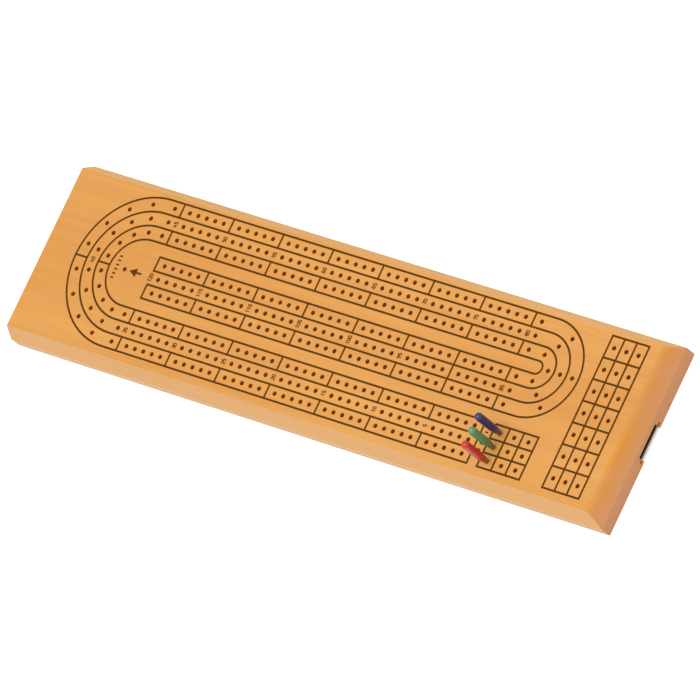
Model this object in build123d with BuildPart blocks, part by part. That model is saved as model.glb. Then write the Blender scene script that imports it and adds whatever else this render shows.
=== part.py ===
"""Three-lane cribbage board with its pegs and the sliding cover of its peg compartment.

Millimetres. The origin is at the centre of the underside. +X runs along the board, to the
end that the cover slides out of, +Y points to the back edge and +Z is up.
"""

import os
from math import asin, cos, pi, radians, sin

from build123d import *

os.makedirs("parts", exist_ok=True)

# Board: a plank with bevelled long edges, one bevelled end and one end sawn square
BOARD_LENGTH = 376.7
BOARD_WIDTH = 96.0
BOARD_THICKNESS = 15.9
LONG_BEVEL = 4.5
END_BEVEL = 6.0
BEVEL_DEPTH = 8.2
ARRIS_RADIUS = 5.0
SHOULDER_RADIUS = 6.0
FOOT_RADIUS = 0.8
SAW_CHAMFER = 0.3
RIGHT_END = BOARD_LENGTH / 2
TOP = BOARD_THICKNESS

# Track layout: three rows of lanes joined by a wide bend on the left and a tight one on the right
LANES = 3
LANE = 7.45
GROUPS = 7
GROUP = 32.0
HOLES_IN_GROUP = 5
HOLE_PITCH = 5.5
TRACK_MARGIN = 69.7
TRACK_X = TRACK_MARGIN - RIGHT_END
TRACK_END_X = TRACK_X + GROUPS * GROUP
BACK_LINE_Y = 41.2
ROW_OFFSETS = {"back": 0.0, "middle": 29.1, "front": 57.9}
LEFT_STRAIGHT = 9.1
LEFT_BEND_X = TRACK_X - LEFT_STRAIGHT
LEFT_LEAD = 4.3
LEFT_LAST_ANGLE = 11.0
RIGHT_STRAIGHT = 13.5
RIGHT_BEND_X = TRACK_END_X + RIGHT_STRAIGHT
RIGHT_LEAD = 8.6
TRACK_HEIGHT = ROW_OFFSETS["front"] + LANES * LANE
LEFT_APEX_X = LEFT_BEND_X - TRACK_HEIGHT / 2
LEFT_BEND_Y = BACK_LINE_Y - TRACK_HEIGHT / 2
RIGHT_BEND_Y = BACK_LINE_Y - (ROW_OFFSETS["middle"] + LANES * LANE) / 2

# Starting holes, games-won holes and the finish hole
START_GAP = 6.3
START_X = TRACK_END_X + START_GAP
START_COLUMN = 8.75
GAMES_GAP = 46.7
GAMES_X = TRACK_END_X + GAMES_GAP
GAMES_COLUMN = 7.45
GAMES_COLUMNS = 3
GAMES_ROWS = 7
GAMES_ROW = TRACK_HEIGHT / GAMES_ROWS
FINISH_GAP = 17.0
FINISH = (TRACK_X - FINISH_GAP, LEFT_BEND_Y)

# Drilled peg holes
HOLE_RADIUS = 1.2
HOLE_DEPTH = 7.2

# Printed lines, numerals and marks
INK_WIDTH = 1.0
INK_THICKNESS = 0.08
OVERRUN = INK_WIDTH / 2
DIGIT_HEIGHT = 2.0
DIGIT_WIDTH = 1.05
DIGIT_STEP = 1.5
DIGIT_STROKE = 0.45
LAST_NUMBER = 120
SKUNK_GROUP = 6
ARROW_LENGTH = 4.5
ARROW_WIDTH = 4.6
ARROW_TAIL = 3.2
ARROW_GAP = 3.2
TICK_STROKE = 0.8
FINISH_TICKS = 6
FINISH_TICK_PITCH = 2.3
FINISH_TICK_LENGTH = 1.8
FINISH_TICKS_GAP = 6.2
START_TICKS = 5
START_TICK_PITCH = 3.0
START_TICK_LENGTH = 2.0

# Compartment under the board, the channel and kerfs for its cover, and the cover itself
CHANNEL_WIDTH = 18.0
CHANNEL_HEIGHT = 5.0
CHANNEL_START = 86.0
CHANNEL_CORNER = 3.0
KERF_WIDTH = 22.0
KERF_BOTTOM = 1.6
KERF_HEIGHT = 1.3
KERF_START = 84.0
POCKET_LENGTH = 72.0
POCKET_CENTRE = 125.0
POCKET_HEIGHT = 7.4
POCKET_CORNER = 4.0
COVER_THICKNESS = 1.0
COVER_WIDTH = 21.4
COVER_GAP = 0.3
COVER_CORNER = 1.5
COVER_RECESS = 0.5
COVER_BOTTOM = KERF_BOTTOM + (KERF_HEIGHT - COVER_THICKNESS) / 2
COVER_TOP = COVER_BOTTOM + COVER_THICKNESS
THUMB_X = 171.0
THUMB_RADIUS = 6.0
THUMB_DEPTH = 0.5

# Pegs
PEG_EXPOSED = 22.4
PEG_LENGTH = HOLE_DEPTH + PEG_EXPOSED
SHANK_RADIUS = 1.1
SHANK_LENGTH = 7.6
SWELL_LENGTH = 10.0
SWELL_SHARE = 0.75
HEAD_RADIUS = 2.05
DOME_HEIGHT = 1.5
TIP_CHAMFER = 0.3
SPARE_PITCH = 5.6
SPARE_LIFT = 0.15
SPARE_END_GAP = 3.0
SPARE_COLUMNS = (
    POCKET_CENTRE - POCKET_LENGTH / 2 + SPARE_END_GAP,
    POCKET_CENTRE + POCKET_LENGTH / 2 - SPARE_END_GAP - PEG_LENGTH,
)

# Pen strokes of each numeral in a box one unit wide and two units high
DIGITS = {
    "0": [
        [(0.3, 0), (0.7, 0), (1, 0.4), (1, 1.6), (0.7, 2)],
        [(0.7, 2), (0.3, 2), (0, 1.6), (0, 0.4), (0.3, 0)],
    ],
    "1": [[(0.15, 1.55), (0.55, 2), (0.55, 0)]],
    "2": [[(0, 1.6), (0.3, 2), (0.7, 2), (1, 1.65), (1, 1.25), (0, 0), (1, 0)]],
    "3": [
        [(0, 1.7), (0.3, 2), (0.7, 2), (1, 1.7), (1, 1.35), (0.65, 1.05)],
        [(0.3, 1.05), (0.65, 1.05), (1, 0.75), (1, 0.35), (0.7, 0), (0.3, 0), (0, 0.3)],
    ],
    "4": [[(0.25, 2), (0, 0.65), (1, 0.65)], [(0.7, 1.3), (0.7, 0)]],
    "5": [[(0.95, 2), (0.1, 2), (0.1, 1.1), (0.65, 1.2), (1, 0.85), (1, 0.35), (0.7, 0), (0, 0.15)]],
    "6": [
        [(0.3, 1.15), (0.7, 1.15), (1, 0.8), (1, 0.4), (0.7, 0), (0.3, 0)],
        [(0.3, 0), (0, 0.4), (0, 1.4), (0.5, 2), (0.9, 2)],
    ],
    "7": [[(0, 2), (1, 2), (0.4, 0)]],
    "8": [
        [(0.3, 0), (0.7, 0), (1, 0.35), (1, 0.7), (0, 1.35)],
        [(0, 1.35), (0, 1.7), (0.3, 2), (0.7, 2), (1, 1.7), (1, 1.35)],
        [(1, 1.35), (0, 0.7), (0, 0.35), (0.3, 0)],
    ],
    "9": [
        [(0.7, 0.85), (0.3, 0.85), (0, 1.2), (0, 1.6), (0.3, 2), (0.7, 2)],
        [(0.7, 2), (1, 1.6), (1, 0.6), (0.5, 0), (0.1, 0)],
    ],
}


def line_y(row, line):
    """Y of a row's printed line, counted from its back."""
    return BACK_LINE_Y - ROW_OFFSETS[row] - line * LANE


def lane_y(row, lane):
    """Y of the middle of a row's lane, counted from its back."""
    return line_y(row, lane + 0.5)


def group_x(group):
    """X of the cross line before a group of holes."""
    return TRACK_X + group * GROUP


def row_holes():
    """Every hole in the straight rows."""
    return [
        (group_x(group + 0.5) + (hole - (HOLES_IN_GROUP - 1) / 2) * HOLE_PITCH, lane_y(row, lane))
        for row in ROW_OFFSETS
        for lane in range(LANES)
        for group in range(GROUPS)
        for hole in range(HOLES_IN_GROUP)
    ]


def bend_holes(centre, side, outer_radius, lead, last_angle, count):
    """Holes evenly spaced along each lane of a bend, from the straight to near its apex, mirrored."""
    holes = set()
    for lane in range(LANES):
        radius = outer_radius - (lane + 0.5) * LANE
        spacing = (lead + radius * (pi / 2 - radians(last_angle))) / (count - 1)
        for step in range(count):
            along = step * spacing - lead
            turn = pi / 2 - max(along, 0.0) / radius
            x = side * (min(along, 0.0) + radius * cos(turn))
            for half in (1, -1):
                y = half * radius * sin(turn)
                holes.add((round(centre[0] + x, 6), round(centre[1] + y, 6)))
    return sorted(holes)


def grid_holes(left, column, columns, back, row, rows):
    """Holes in the middle of each cell of a grid."""
    return [
        (left + (i + 0.5) * column, back - (j + 0.5) * row)
        for i in range(columns)
        for j in range(rows)
    ]


def start_holes():
    return grid_holes(START_X, START_COLUMN, LANES, line_y("front", 0), LANE, LANES)


def all_holes():
    left = bend_holes(
        (LEFT_BEND_X, LEFT_BEND_Y), -1, TRACK_HEIGHT / 2, LEFT_LEAD, LEFT_LAST_ANGLE, HOLES_IN_GROUP
    )
    right_radius = BACK_LINE_Y - RIGHT_BEND_Y
    right = bend_holes((RIGHT_BEND_X, RIGHT_BEND_Y), 1, right_radius, RIGHT_LEAD, 0.0, LANES)
    games = grid_holes(GAMES_X, GAMES_COLUMN, GAMES_COLUMNS, BACK_LINE_Y, GAMES_ROW, GAMES_ROWS)
    return row_holes() + left + right + start_holes() + games + [FINISH]


def ink(lines, width=INK_WIDTH):
    """Draw each run of points as straight printed lines in the open sketch."""
    for run in lines:
        with BuildLine() as stroke:
            Polyline(*run)
        trace(stroke.edges(), line_width=width)


def grid_lines(left, column, columns, back, row, rows):
    """Lines of a ruled grid, each reaching half a line's width past the corners."""
    right = left + columns * column
    front = back - rows * row
    uprights = [
        [(left + i * column, back + OVERRUN), (left + i * column, front - OVERRUN)]
        for i in range(columns + 1)
    ]
    levels = [
        [(left - OVERRUN, back - j * row), (right + OVERRUN, back - j * row)] for j in range(rows + 1)
    ]
    return uprights + levels


def number_labels():
    """Each printed number and its centre: out along the front, on along the back, home in the middle.

    The line that a losing player has to pass crosses the middle lane, so it carries no number.
    """
    labels = [(HOLES_IN_GROUP * (GROUPS + 1), (LEFT_APEX_X + 1.5 * LANE, LEFT_BEND_Y))]
    for group in range(GROUPS + 1):
        x = group_x(group)
        if group < GROUPS:
            labels.append((HOLES_IN_GROUP * (GROUPS - group), (x, lane_y("front", 1))))
        labels.append((HOLES_IN_GROUP * (GROUPS + 2 + group), (x, lane_y("back", 1))))
        if group != SKUNK_GROUP:
            labels.append((LAST_NUMBER - HOLES_IN_GROUP * group, (x, lane_y("middle", 1))))
    return labels


def numeral_strokes(number, centre):
    """Strokes of a number that reads along +Y, centred on a point."""
    digits = str(number)
    run = (len(digits) - 1) * DIGIT_STEP + DIGIT_WIDTH
    strokes = []
    for place, digit in enumerate(digits):
        y0 = centre[1] - run / 2 + place * DIGIT_STEP
        x0 = centre[0] + DIGIT_HEIGHT / 2
        for stroke in DIGITS[digit]:
            strokes.append([(x0 - v * DIGIT_HEIGHT / 2, y0 + u * DIGIT_WIDTH) for u, v in stroke])
    return strokes


def cap_arc(centre, base, radius, rise):
    """Arc of a ball-shaped cap, from its rim to its top on the axis of revolution."""
    ball = (radius**2 + rise**2) / (2 * rise)
    turn = asin(radius / ball) / 2
    middle = (centre + ball * sin(turn), base + rise - ball * (1 - cos(turn)))
    ThreePointArc((centre + radius, base), middle, (centre, base + rise))


def save(piece, name):
    """Label a finished piece and write it."""
    piece.part.label = name
    export_step(piece.part, f"parts/{name}.step")


# Board
with BuildPart() as board:
    with BuildSketch(Plane.YZ.offset(-RIGHT_END)) as long_profile:
        with BuildLine():
            half = BOARD_WIDTH / 2
            shoulder = TOP - BEVEL_DEPTH
            Polyline(
                (-half, 0),
                (half, 0),
                (half, shoulder),
                (half - LONG_BEVEL, TOP),
                (LONG_BEVEL - half, TOP),
                (-half, shoulder),
                close=True,
            )
        make_face()
        heights = long_profile.vertices().group_by(Axis.Y)
        fillet(heights[0], radius=FOOT_RADIUS)
        fillet(heights[1], radius=SHOULDER_RADIUS)
        fillet(heights[2], radius=ARRIS_RADIUS)
    extrude(amount=BOARD_LENGTH)
    with BuildSketch(Plane.XZ) as end_profile:
        with BuildLine():
            Polyline(
                (-RIGHT_END, 0),
                (RIGHT_END, 0),
                (RIGHT_END, shoulder),
                (RIGHT_END - END_BEVEL, TOP),
                (-RIGHT_END, TOP),
                close=True,
            )
        make_face()
        corners = end_profile.vertices()
        chamfer(corners.group_by(Axis.X)[0], length=SAW_CHAMFER)
        right_corners = end_profile.vertices().group_by(Axis.X)[-1].sort_by(Axis.Y)
        fillet(right_corners[0], radius=FOOT_RADIUS)
        fillet(right_corners[1], radius=SHOULDER_RADIUS)
        fillet(end_profile.vertices().group_by(Axis.Y)[-1].sort_by(Axis.X)[-1], radius=ARRIS_RADIUS)
    extrude(amount=BOARD_WIDTH, both=True, mode=Mode.INTERSECT)

    with BuildSketch() as channel:
        with Locations((CHANNEL_START, 0)):
            Rectangle(RIGHT_END, CHANNEL_WIDTH, align=(Align.MIN, Align.CENTER))
        fillet(channel.vertices().group_by(Axis.X)[0], radius=CHANNEL_CORNER)
    extrude(amount=CHANNEL_HEIGHT, mode=Mode.SUBTRACT)
    with BuildSketch(Plane.XY.offset(KERF_BOTTOM)):
        with Locations((KERF_START, 0)):
            Rectangle(RIGHT_END, KERF_WIDTH, align=(Align.MIN, Align.CENTER))
    extrude(amount=KERF_HEIGHT, mode=Mode.SUBTRACT)
    with BuildSketch():
        with Locations((POCKET_CENTRE, 0)):
            RectangleRounded(POCKET_LENGTH, CHANNEL_WIDTH, POCKET_CORNER)
    extrude(amount=POCKET_HEIGHT, mode=Mode.SUBTRACT)

    with BuildSketch(Plane.XY.offset(TOP)):
        with Locations(*all_holes()):
            Circle(HOLE_RADIUS)
    extrude(amount=-HOLE_DEPTH, mode=Mode.SUBTRACT)
save(board, "board")

# Lane lines and cross lines of the track
with BuildPart() as print_track:
    with BuildSketch(Plane.XY.offset(TOP)):
        for i in range(LANES + 1):
            back_y = line_y("back", i)
            front_y = line_y("front", LANES - i)
            middle_y = line_y("middle", LANES - i)
            left_apex = (LEFT_APEX_X + i * LANE, LEFT_BEND_Y)
            right_apex = (RIGHT_BEND_X + (back_y - middle_y) / 2, RIGHT_BEND_Y)
            with BuildLine() as lane_line:
                Line((TRACK_END_X, front_y), (LEFT_BEND_X, front_y))
                ThreePointArc((LEFT_BEND_X, front_y), left_apex, (LEFT_BEND_X, back_y))
                Line((LEFT_BEND_X, back_y), (RIGHT_BEND_X, back_y))
                ThreePointArc((RIGHT_BEND_X, back_y), right_apex, (RIGHT_BEND_X, middle_y))
                Line((RIGHT_BEND_X, middle_y), (TRACK_X, middle_y))
            trace(lane_line.edges(), line_width=INK_WIDTH)
        for lane in (0, LANES - 1):
            for row in ROW_OFFSETS:
                for group in range(GROUPS + 1):
                    x = group_x(group)
                    ink([[(x, line_y(row, lane) + OVERRUN), (x, line_y(row, lane + 1) - OVERRUN)]])
            apex = LEFT_APEX_X + lane * LANE
            ink([[(apex - OVERRUN, LEFT_BEND_Y), (apex + LANE + OVERRUN, LEFT_BEND_Y)]])
        for row, group in (("front", GROUPS), ("middle", SKUNK_GROUP)):
            ink([[(group_x(group), line_y(row, 1)), (group_x(group), line_y(row, 2))]])
    extrude(amount=INK_THICKNESS)
save(print_track, "print_track")

# Numerals every five holes, in the middle lane
with BuildPart() as print_numerals:
    with BuildSketch(Plane.XY.offset(TOP)):
        for number, place in number_labels():
            ink(numeral_strokes(number, place), DIGIT_STROKE)
    extrude(amount=INK_THICKNESS)
save(print_numerals, "print_numerals")

# Ruled grid around the starting holes
with BuildPart() as print_start_grid:
    with BuildSketch(Plane.XY.offset(TOP)):
        ink(grid_lines(START_X, START_COLUMN, LANES, line_y("front", 0), LANE, LANES))
    extrude(amount=INK_THICKNESS)
save(print_start_grid, "print_start_grid")

# Ruled grid around the games-won holes
with BuildPart() as print_games_grid:
    with BuildSketch(Plane.XY.offset(TOP)):
        ink(grid_lines(GAMES_X, GAMES_COLUMN, GAMES_COLUMNS, BACK_LINE_Y, GAMES_ROW, GAMES_ROWS))
    extrude(amount=INK_THICKNESS)
save(print_games_grid, "print_games_grid")

# Arrow into the finish hole, and plain ticks beside the finish and the start
with BuildPart() as print_marks:
    with BuildSketch(Plane.XY.offset(TOP)):
        tip_x = FINISH[0] + ARROW_GAP
        with BuildLine():
            Polyline(
                (tip_x, FINISH[1]),
                (tip_x + ARROW_LENGTH, FINISH[1] + ARROW_WIDTH / 2),
                (tip_x + ARROW_LENGTH, FINISH[1] - ARROW_WIDTH / 2),
                close=True,
            )
        make_face()
        tail_x = tip_x + ARROW_LENGTH
        ink([[(tail_x - OVERRUN, FINISH[1]), (tail_x + ARROW_TAIL, FINISH[1])]])
        ticks_x = FINISH[0] - FINISH_TICKS_GAP
        for i in range(FINISH_TICKS):
            y = FINISH[1] + (i - (FINISH_TICKS - 1) / 2) * FINISH_TICK_PITCH
            ink([[(ticks_x, y), (ticks_x + FINISH_TICK_LENGTH, y)]], TICK_STROKE)
        start_gap = (TRACK_END_X + START_X) / 2
        for i in range(START_TICKS):
            y = lane_y("front", 1) + (i - (START_TICKS - 1) / 2) * START_TICK_PITCH
            ends = [(start_gap - START_TICK_LENGTH / 2, y), (start_gap + START_TICK_LENGTH / 2, y)]
            ink([ends], TICK_STROKE)
    extrude(amount=INK_THICKNESS)
save(print_marks, "print_marks")

# Sliding cover: a thin plate with a shallow thumb dish in its outer face
with BuildPart() as cover:
    cover_left = KERF_START + COVER_GAP
    cover_right = RIGHT_END - COVER_RECESS
    with BuildSketch(Plane.XY.offset(COVER_BOTTOM)):
        with Locations(((cover_left + cover_right) / 2, 0)):
            RectangleRounded(cover_right - cover_left, COVER_WIDTH, COVER_CORNER)
    extrude(amount=COVER_THICKNESS)
    with BuildSketch(Plane.XZ):
        with BuildLine():
            rim = (THUMB_X + THUMB_RADIUS, COVER_BOTTOM)
            Polyline(rim, (THUMB_X, COVER_BOTTOM), (THUMB_X, COVER_BOTTOM + THUMB_DEPTH))
            cap_arc(THUMB_X, COVER_BOTTOM, THUMB_RADIUS, THUMB_DEPTH)
        make_face()
    revolve(axis=Axis((THUMB_X, 0, 0), (0, 0, 1)), mode=Mode.SUBTRACT)
save(cover, "cover")


def make_peg(name, tip, axis, radial):
    """A peg: a straight shank that swells into a thicker round body with a domed head."""
    base = Vector(*tip)
    along = Vector(*axis)
    out = Vector(*radial)
    with BuildPart() as peg:
        with BuildSketch(Plane(origin=base, x_dir=out, z_dir=out.cross(along))):
            with BuildLine():
                swell_radius = SHANK_RADIUS + SWELL_SHARE * (HEAD_RADIUS - SHANK_RADIUS)
                swell_middle = (swell_radius, SHANK_LENGTH + SWELL_LENGTH / 2)
                dome_start = PEG_LENGTH - DOME_HEIGHT
                shank_end = (SHANK_RADIUS, SHANK_LENGTH)
                body_start = (HEAD_RADIUS, SHANK_LENGTH + SWELL_LENGTH)
                Polyline(
                    (0, PEG_LENGTH),
                    (0, 0),
                    (SHANK_RADIUS - TIP_CHAMFER, 0),
                    (SHANK_RADIUS, TIP_CHAMFER),
                    shank_end,
                )
                ThreePointArc(shank_end, swell_middle, body_start)
                Line(body_start, (HEAD_RADIUS, dome_start))
                cap_arc(0, dome_start, HEAD_RADIUS, DOME_HEIGHT)
            make_face()
        revolve(axis=Axis(base, along))
    save(peg, name)


# Three pegs standing in the first column of starting holes, back lane to front lane
COLOURS = ("blue", "green", "red")
for colour, (x, y) in zip(COLOURS, start_holes()):
    make_peg(f"peg_{colour}", (x, y, TOP - HOLE_DEPTH), (0, 0, 1), (1, 0, 0))

# Six spare pegs lying in the compartment, two of each colour
spare_z = COVER_TOP + SPARE_LIFT + HEAD_RADIUS
for column, x in enumerate(SPARE_COLUMNS):
    for place, colour in enumerate(COLOURS):
        y = (1 - place) * SPARE_PITCH
        make_peg(f"spare_peg_{colour}_{column + 1}", (x, y, spare_z), (1, 0, 0), (0, 1, 0))
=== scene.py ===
"""Looks for the three-lane cribbage board: camera, studio light, and every material.

Metres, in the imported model's frame: the origin is at the centre of the board's underside, +X runs to
the end that the cover slides out of, +Y to the back edge and +Z up.
"""

from math import cos, radians, sin

import bpy
import numpy as np
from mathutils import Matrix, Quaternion, Vector


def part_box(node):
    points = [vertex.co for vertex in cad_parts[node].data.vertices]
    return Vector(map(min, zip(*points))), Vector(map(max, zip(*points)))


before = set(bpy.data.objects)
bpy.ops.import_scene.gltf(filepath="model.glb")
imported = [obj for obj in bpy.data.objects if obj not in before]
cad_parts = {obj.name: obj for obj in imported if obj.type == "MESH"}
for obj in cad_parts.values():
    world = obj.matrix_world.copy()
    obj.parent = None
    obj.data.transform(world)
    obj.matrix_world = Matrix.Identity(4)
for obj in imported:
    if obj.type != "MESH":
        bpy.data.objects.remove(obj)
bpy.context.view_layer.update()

# Height of the board's printed face
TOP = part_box("board")[1].z

# Camera: a long lens from above the front of the bevelled end, rolled so the board lies across the picture
CAMERA_TARGET = Vector((0.01269, -0.00368, TOP))
CAMERA_DISTANCE = 4.930
CAMERA_AZIMUTH = 73.966
CAMERA_ELEVATION = 50.531
CAMERA_ROLL = -52.116
CAMERA_LENS = 528.84
CAMERA_NEAR = 0.1
CAMERA_FAR = 100.0
SENSOR = 36.0

# Studio: an even white sky, one large soft lamp overhead and a sheet that glows a little
WHITE = (1.0, 1.0, 1.0)
SKY_STRENGTH = 1.0
KEY_AZIMUTH = 20.0
KEY_ELEVATION = 80.0
KEY_DISTANCE = 3.0
KEY_SIZE = 2.2
KEY_POWER = 80.0
FLOOR_SIZE = 60.0
FLOOR_DROP = 0.0002
FLOOR_CELLS = (3.0, 3.0, 3.0)
FLOOR_GREY = (0.65, 0.65, 0.65)
FLOOR_PALE = (0.67, 0.67, 0.67)
FLOOR_GLOW = 0.4

# Peg holes: their walls and floors lie below the printed face and above the compartment
HOLE_DEPTH = 0.0072
HOLE_FIELD_X = 0.176
HOLE_FIELD_Y = 0.0393
SKIN = 0.00005

# Wood pattern: noise cells per metre along X, Y and Z, with the grain along X
WANDER_CELLS = (3.0, 14.0, 14.0)
FIBRE_CELLS = (14.0, 900.0, 900.0)
STREAK_CELLS = (5.0, 160.0, 160.0)
PORE_CELLS = (60.0, 1700.0, 1700.0)
TONE_CELLS = (4.0, 22.0, 22.0)
BLOTCH_CELLS = (30.0, 60.0, 90.0)
HOLE_WALL_CELLS = (700.0, 700.0, 300.0)

# Growth rings around a pith below the board, which runs a little askew of it
RINGS_PER_METRE = 330.0
RING_WANDER = 0.05
PITH_FORWARD = 0.021
PITH_BELOW = 0.045
PITH_SLOPE_Y = 0.035
PITH_SLOPE_Z = 0.012

# Wood colours and painted light on some faces, and the largest share that each of them takes
HONEY_DEEP = (0.435, 0.178, 0.021)
HONEY_BRIGHT = (0.475, 0.214, 0.034)
RING_BROWN = (0.37, 0.135, 0.013)
STREAK_BROWN = (0.36, 0.125, 0.012)
STREAK_PALE = (0.52, 0.265, 0.06)
FIBRE_BROWN = (0.34, 0.12, 0.012)
PORE_BROWN = (0.25, 0.09, 0.01)
# Painted light: a paler colour for front-facing faces and a brighter one for back-facing faces
FRONT_PAINTED_LIGHT = (0.455, 0.235, 0.07)
BACK_PAINTED_LIGHT = (0.5, 0.242, 0.032)
END_DEEP = (0.455, 0.178, 0.03)
END_PALE = (0.43, 0.188, 0.07)
# Painted light from below: a paler, bluer colour towards the bottom of the end faces
END_PAINTED_LIGHT = (0.395, 0.187, 0.1)
# Darker, redder colours for the walls and floors of the peg holes
HOLE_WALL_DEEP = (0.34, 0.1, 0.007)
HOLE_WALL_BRIGHT = (0.46, 0.15, 0.014)
RING_SHARE = 0.16
STREAK_SHARE = 0.35
FIBRE_SHARE = 0.16
PORE_SHARE = 0.25
FRONT_LIGHT_SHARE = 0.8
BACK_LIGHT_SHARE = 0.7
END_SHARE = 0.85
END_PAINTED_SHARE = 0.7

# Height, down from the printed face, over which painted light from below grows on the end faces, paler and
# bluer towards the bottom
END_LIGHT_FADE = 0.009

# Varnish relief and sheen; the back and end faces are duller
VARNISH_RELIEF = 0.00005
VARNISH_SHEEN = 0.5
DULL_SHEEN = 0.15

# Printing ink
INK_CELLS = (900.0, 900.0, 900.0)
INK_PATCH_CELLS = (60.0, 60.0, 60.0)
INK_FULL = (0.058, 0.02, 0.001)
INK_THIN = (0.12, 0.045, 0.004)
INK_PATCH = (0.1, 0.036, 0.003)

# Pegs: deep and bright colour of each plastic, and the painted brown band of shade and wood reflection at
# a standing peg's hole
PLASTICS = {
    "blue": ((0.012, 0.014, 0.08), (0.026, 0.03, 0.14)),
    "green": ((0.075, 0.21, 0.08), (0.11, 0.29, 0.12)),
    "red": ((0.42, 0.012, 0.009), (0.56, 0.022, 0.016)),
}
FLOW_CELLS = (260.0, 260.0, 90.0)
SPECK_CELLS = (1800.0, 1800.0, 1800.0)
SPECK_RELIEF = 0.000004
PLASTIC_CLARITY = 0.35
PLASTIC_IOR = 1.49
HOLE_SHADE_LENGTH = 0.01
PAINTED_WOOD_REFLECTION = (0.24, 0.1, 0.025)
PAINTED_REFLECTION_SHARE = 0.75

# Cover: dark bronze colour, which partly stands in for painted shade inside the thumb notch
SCRATCH_CELLS = (25.0, 3000.0, 3000.0)
SMUDGE_CELLS = (60.0, 60.0, 60.0)
SCRATCH_RELIEF = 0.00002
BRONZE_AND_SHADE_DEEP = (0.12, 0.075, 0.045)
BRONZE_AND_SHADE_BRIGHT = (0.16, 0.1, 0.06)


def direction(azimuth, elevation):
    """Unit vector from the object towards a viewer at that azimuth and elevation, in degrees."""
    a, e = radians(azimuth), radians(elevation)
    return Vector((sin(a) * cos(e), -cos(a) * cos(e), sin(e)))


def make_camera():
    data = bpy.data.cameras.new("camera")
    data.sensor_width = SENSOR
    data.lens = CAMERA_LENS
    data.clip_start = CAMERA_NEAR
    data.clip_end = CAMERA_FAR
    camera = bpy.data.objects.new("camera", data)
    bpy.context.scene.collection.objects.link(camera)
    back = direction(CAMERA_AZIMUTH, CAMERA_ELEVATION)
    camera.location = CAMERA_TARGET + back * CAMERA_DISTANCE
    camera.rotation_mode = "QUATERNION"
    level = (-back).to_track_quat("-Z", "Y")
    camera.rotation_quaternion = level @ Quaternion((0, 0, 1), radians(CAMERA_ROLL))
    bpy.context.scene.camera = camera


def make_softbox(name, azimuth, elevation, distance, size, power):
    data = bpy.data.lights.new(name, "AREA")
    data.shape = "DISK"
    data.size = size
    data.energy = power
    lamp = bpy.data.objects.new(name, data)
    bpy.context.scene.collection.objects.link(lamp)
    towards = direction(azimuth, elevation)
    lamp.location = towards * distance
    lamp.rotation_mode = "QUATERNION"
    lamp.rotation_quaternion = towards.to_track_quat("Z", "Y")


class Nodes:
    """A short way to write a material's node tree."""

    def __init__(self, name):
        self.material = bpy.data.materials.new(name)
        self.material.use_nodes = True
        self.tree = self.material.node_tree
        self.tree.nodes.clear()
        output = self.tree.nodes.new("ShaderNodeOutputMaterial")
        self.shader = self.tree.nodes.new("ShaderNodeBsdfPrincipled")
        self.tree.links.new(self.shader.outputs["BSDF"], output.inputs["Surface"])
        self.coordinates = self.tree.nodes.new("ShaderNodeTexCoord")

    def put(self, socket, value):
        """Set a socket to a number, a colour, or another node's output."""
        if isinstance(value, bpy.types.NodeSocket):
            self.tree.links.new(value, socket)
        elif isinstance(value, tuple):
            socket.default_value = (*value, 1.0)
        else:
            socket.default_value = value

    def add(self, kind, settings=None, **sockets):
        node = self.tree.nodes.new(kind)
        for key, value in (settings or {}).items():
            setattr(node, key, value)
        for key, value in sockets.items():
            self.put(node.inputs[key.replace("_", " ")], value)
        return node

    def surface(self, **sockets):
        for key, value in sockets.items():
            self.put(self.shader.inputs[key.replace("_", " ")], value)

    def noise(self, cells, detail=2.0, roughness=0.5):
        """Noise in object coordinates, with its own number of cells per metre along each axis."""
        place = self.add("ShaderNodeMapping", Vector=self.coordinates.outputs["Object"])
        place.inputs["Scale"].default_value = cells
        node = self.add(
            "ShaderNodeTexNoise",
            Vector=place.outputs["Vector"],
            Scale=1.0,
            Detail=detail,
            Roughness=roughness,
        )
        return node.outputs["Fac"]

    def maths(self, operation, a, b=0.0):
        node = self.add("ShaderNodeMath", {"operation": operation})
        for socket, value in zip(node.inputs, (a, b)):
            self.put(socket, value)
        return node.outputs["Value"]

    def remap(self, value, low, high, out_low=0.0, out_high=1.0, smooth=False):
        """Map low..high to out_low..out_high and stay there outside it."""
        node = self.add("ShaderNodeMapRange", {"interpolation_type": "SMOOTHSTEP" if smooth else "LINEAR"})
        for key, number in (
            ("Value", value),
            ("From Min", low),
            ("From Max", high),
            ("To Min", out_low),
            ("To Max", out_high),
        ):
            self.put(node.inputs[key], number)
        return node.outputs["Result"]

    def mix(self, share, a, b):
        """Colour a with that share of colour b mixed in."""
        node = self.add("ShaderNodeMix", {"data_type": "RGBA"})
        for socket, value in ((node.inputs[0], share), (node.inputs[6], a), (node.inputs[7], b)):
            self.put(socket, value)
        return node.outputs[2]

    def bump(self, height, distance, strength):
        node = self.add("ShaderNodeBump", Height=height, Distance=distance, Strength=strength)
        return node.outputs["Normal"]

    def split(self, vector):
        return self.add("ShaderNodeSeparateXYZ", Vector=vector).outputs


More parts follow.
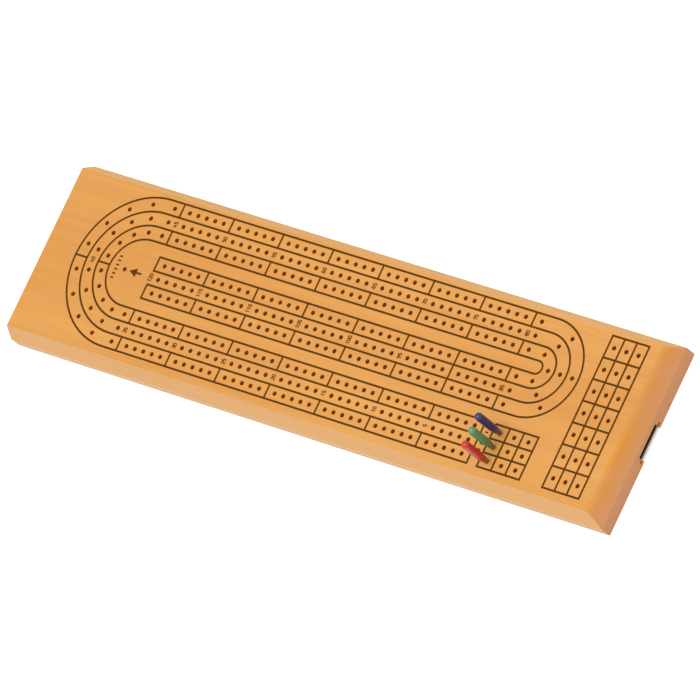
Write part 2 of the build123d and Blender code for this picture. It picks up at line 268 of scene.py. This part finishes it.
def wood_grain(n):
    """Shared wood pattern: growth rings, fibres, streaks, pores and broad tone, each from 0 to 1."""
    wander = n.noise(WANDER_CELLS)
    place = n.split(n.coordinates.outputs["Object"])
    wandered = n.maths("MULTIPLY", n.maths("SUBTRACT", wander, 0.5), RING_WANDER)
    across = n.maths("ADD", place["Y"], wandered)
    across = n.maths("ADD", across, n.maths("MULTIPLY", place["X"], PITH_SLOPE_Y))
    depth = n.maths("ADD", place["Z"], n.maths("MULTIPLY", place["X"], PITH_SLOPE_Z))
    radius = n.maths(
        "SQRT",
        n.maths(
            "ADD",
            n.maths("POWER", n.maths("ADD", across, PITH_FORWARD), 2.0),
            n.maths("POWER", n.maths("ADD", depth, PITH_BELOW), 2.0),
        ),
    )
    ring = n.maths("FRACT", n.maths("MULTIPLY", radius, RINGS_PER_METRE))
    late = n.remap(ring, 0.45, 1.0, 0.0, 1.0, smooth=True)
    early = n.remap(ring, 0.0, 0.12, 1.0, 0.0, smooth=True)
    rings = n.maths("MAXIMUM", late, early)
    fibres = n.noise(FIBRE_CELLS, detail=3.0, roughness=0.6)
    streaks = n.noise(STREAK_CELLS, detail=3.0, roughness=0.55)
    pores = n.noise(PORE_CELLS, detail=1.0)
    tone = n.noise(TONE_CELLS)
    return rings, fibres, streaks, pores, tone


def varnished_wood():
    """Honey-coloured close-grained hardwood under clear satin varnish, with painted light by where a face
    looks: paler front faces, brighter back faces, and end faces paler and bluer towards the bottom.
    """
    n = Nodes("varnished_wood")
    rings, fibres, streaks, pores, tone = wood_grain(n)
    body = n.mix(n.remap(tone, 0.3, 0.7), HONEY_DEEP, HONEY_BRIGHT)
    body = n.mix(n.maths("MULTIPLY", rings, RING_SHARE), body, RING_BROWN)
    body = n.mix(n.remap(streaks, 0.5, 0.8, 0.0, STREAK_SHARE), body, STREAK_BROWN)
    body = n.mix(n.remap(streaks, 0.46, 0.2, 0.0, STREAK_SHARE), body, STREAK_PALE)
    body = n.mix(n.remap(fibres, 0.35, 0.7, 0.0, FIBRE_SHARE), body, FIBRE_BROWN)
    fleck = n.remap(pores, 0.66, 0.76, 0.0, PORE_SHARE, smooth=True)
    body = n.mix(fleck, body, PORE_BROWN)
    facing = n.split(n.coordinates.outputs["Normal"])
    # Painted light: front-facing faces turn paler
    front = n.remap(facing["Y"], -0.45, -0.8, 0.0, FRONT_LIGHT_SHARE, smooth=True)
    body = n.mix(front, body, FRONT_PAINTED_LIGHT)
    # Painted light: back-facing faces turn brighter; the same mask also dulls the sheen
    back = n.remap(facing["Y"], 0.4, 0.8, 0.0, 1.0, smooth=True)
    body = n.mix(n.maths("MULTIPLY", back, BACK_LIGHT_SHARE), body, BACK_PAINTED_LIGHT)
    lengthwise = n.maths("ABSOLUTE", facing["X"])
    end = n.remap(lengthwise, 0.1, 0.7, 0.0, 1.0, smooth=True)
    dull = n.maths("MAXIMUM", back, n.remap(lengthwise, 0.03, 0.25))
    blotches = n.noise(BLOTCH_CELLS, detail=3.0)
    ends = n.mix(n.remap(blotches, 0.35, 0.65), END_DEEP, END_PALE)
    # Painted light: the end faces turn paler and bluer towards the bottom
    height = n.split(n.coordinates.outputs["Object"])["Z"]
    painted_low_light = n.remap(height, TOP - END_LIGHT_FADE, TOP, END_PAINTED_SHARE, 0.0, smooth=True)
    ends = n.mix(painted_low_light, ends, END_PAINTED_LIGHT)
    body = n.mix(n.maths("MULTIPLY", end, END_SHARE), body, ends)
    relief = n.maths("ADD", n.maths("MULTIPLY", fibres, 0.5), n.maths("MULTIPLY", streaks, 0.5))
    n.surface(
        Base_Color=body,
        Roughness=n.remap(fibres, 0.3, 0.7, 0.42, 0.55),
        Specular_IOR_Level=n.remap(dull, 0.0, 1.0, VARNISH_SHEEN, DULL_SHEEN),
        Normal=n.bump(relief, VARNISH_RELIEF, 0.4),
    )
    return n.material


def bored_wood():
    """Darker, redder wood on the walls and floor of the peg holes."""
    n = Nodes("bored_wood")
    hole_wall_noise = n.noise(HOLE_WALL_CELLS)
    body = n.mix(n.remap(hole_wall_noise, 0.3, 0.7), HOLE_WALL_DEEP, HOLE_WALL_BRIGHT)
    n.surface(Base_Color=body, Roughness=0.8, Specular_IOR_Level=0.1)
    return n.material


def printing_ink():
    """Dark brown screen-printing ink, a little thin in places."""
    n = Nodes("printing_ink")
    thin = n.noise(INK_CELLS)
    patchy = n.noise(INK_PATCH_CELLS)
    body = n.mix(n.remap(thin, 0.5, 0.8, 0.0, 0.5), INK_FULL, INK_THIN)
    body = n.mix(n.remap(patchy, 0.4, 0.75, 0.0, 0.35), body, INK_PATCH)
    n.surface(
        Base_Color=body,
        Roughness=n.remap(thin, 0.3, 0.7, 0.55, 0.7),
        Specular_IOR_Level=0.05,
    )
    return n.material


def moulded_plastic(name, deep, bright, shaded_at_hole):
    """Glossy, slightly clear plastic with soft flow marks; a standing peg gets a painted brown band of
    shade and wood reflection at and just above its hole.
    """
    n = Nodes(name)
    flow = n.noise(FLOW_CELLS, detail=3.0)
    specks = n.noise(SPECK_CELLS, detail=1.0)
    body = n.mix(n.remap(flow, 0.3, 0.7), deep, bright)
    # Painted shade and reflection: a brown band where the standing peg meets its hole
    if shaded_at_hole:
        height = n.split(n.coordinates.outputs["Object"])["Z"]
        above = n.remap(height, TOP, TOP + HOLE_SHADE_LENGTH, 1.0, 0.0, smooth=True)
        below = n.remap(height, TOP - HOLE_SHADE_LENGTH / 3, TOP, 0.0, PAINTED_REFLECTION_SHARE, smooth=True)
        body = n.mix(n.maths("MULTIPLY", above, below), body, PAINTED_WOOD_REFLECTION)
    n.surface(
        Base_Color=body,
        Roughness=n.remap(flow, 0.3, 0.7, 0.28, 0.4),
        Normal=n.bump(specks, SPECK_RELIEF, 0.4),
        Transmission_Weight=PLASTIC_CLARITY,
        IOR=PLASTIC_IOR,
    )
    return n.material


def brushed_steel():
    """Thin sheet steel brushed along the board, dark bronze in colour; the dark colour partly stands in
    for painted shade inside the thumb notch.
    """
    n = Nodes("brushed_steel")
    scratches = n.noise(SCRATCH_CELLS, detail=3.0, roughness=0.7)
    smudges = n.noise(SMUDGE_CELLS, detail=3.0)
    body = n.mix(n.remap(scratches, 0.3, 0.7), BRONZE_AND_SHADE_DEEP, BRONZE_AND_SHADE_BRIGHT)
    brushed = n.remap(scratches, 0.3, 0.7, 0.22, 0.4)
    smudged = n.remap(smudges, 0.4, 0.7, 0.0, 0.12)
    n.surface(
        Base_Color=body,
        Metallic=1.0,
        Roughness=n.maths("ADD", brushed, smudged),
        Normal=n.bump(scratches, SCRATCH_RELIEF, 0.5),
        Anisotropic=0.6,
    )
    return n.material


def studio_floor():
    """Pale matt sheet of a shooting table, lit a little from below."""
    n = Nodes("studio_floor")
    mottle = n.noise(FLOOR_CELLS)
    n.surface(
        Base_Color=n.mix(mottle, FLOOR_GREY, FLOOR_PALE),
        Roughness=0.9,
        Emission_Color=WHITE,
        Emission_Strength=FLOOR_GLOW,
    )
    return n.material


def make_floor():
    half = FLOOR_SIZE / 2
    mesh = bpy.data.meshes.new("floor")
    corners = [(-half, -half), (half, -half), (half, half), (-half, half)]
    mesh.from_pydata([(x, y, -FLOOR_DROP) for x, y in corners], [], [(0, 1, 2, 3)])
    mesh.materials.append(studio_floor())
    floor = bpy.data.objects.new("floor", mesh)
    bpy.context.scene.collection.objects.link(floor)


def make_world():
    world = bpy.data.worlds.new("studio")
    world.use_nodes = True
    background = world.node_tree.nodes["Background"]
    background.inputs["Color"].default_value = (*WHITE, 1.0)
    background.inputs["Strength"].default_value = SKY_STRENGTH
    bpy.context.scene.world = world


def dress(node, *materials):
    """Give a CAD node its materials, in slot order."""
    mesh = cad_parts[node].data
    mesh.materials.clear()
    for material in materials:
        mesh.materials.append(material)


def mark_holes():
    """Put the second material on the board's faces that lie inside the peg holes."""
    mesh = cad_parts["board"].data
    centres = np.empty(3 * len(mesh.polygons))
    mesh.polygons.foreach_get("center", centres)
    x, y, z = centres.reshape(-1, 3).T
    inside = (z > TOP - HOLE_DEPTH - SKIN) & (z < TOP - SKIN)
    inside &= (np.abs(x) < HOLE_FIELD_X) & (np.abs(y) < HOLE_FIELD_Y)
    mesh.polygons.foreach_set("material_index", inside.astype(np.int32))


make_camera()
make_world()
make_floor()
make_softbox("key", KEY_AZIMUTH, KEY_ELEVATION, KEY_DISTANCE, KEY_SIZE, KEY_POWER)

dress("board", varnished_wood(), bored_wood())
mark_holes()
ink = printing_ink()
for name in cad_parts:
    if name.startswith("print_"):
        dress(name, ink)
dress("cover", brushed_steel())
for colour, (deep, bright) in PLASTICS.items():
    # Standing pegs carry the painted brown band of shade and wood reflection; spare pegs do not
    dress(f"peg_{colour}", moulded_plastic(f"hole_shaded_plastic_{colour}", deep, bright, shaded_at_hole=True))
    spare_plastic = moulded_plastic(f"plastic_{colour}", deep, bright, shaded_at_hole=False)
    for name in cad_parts:
        if name.startswith(f"spare_peg_{colour}"):
            dress(name, spare_plastic)

bpy.context.scene.view_settings.view_transform = "Standard"
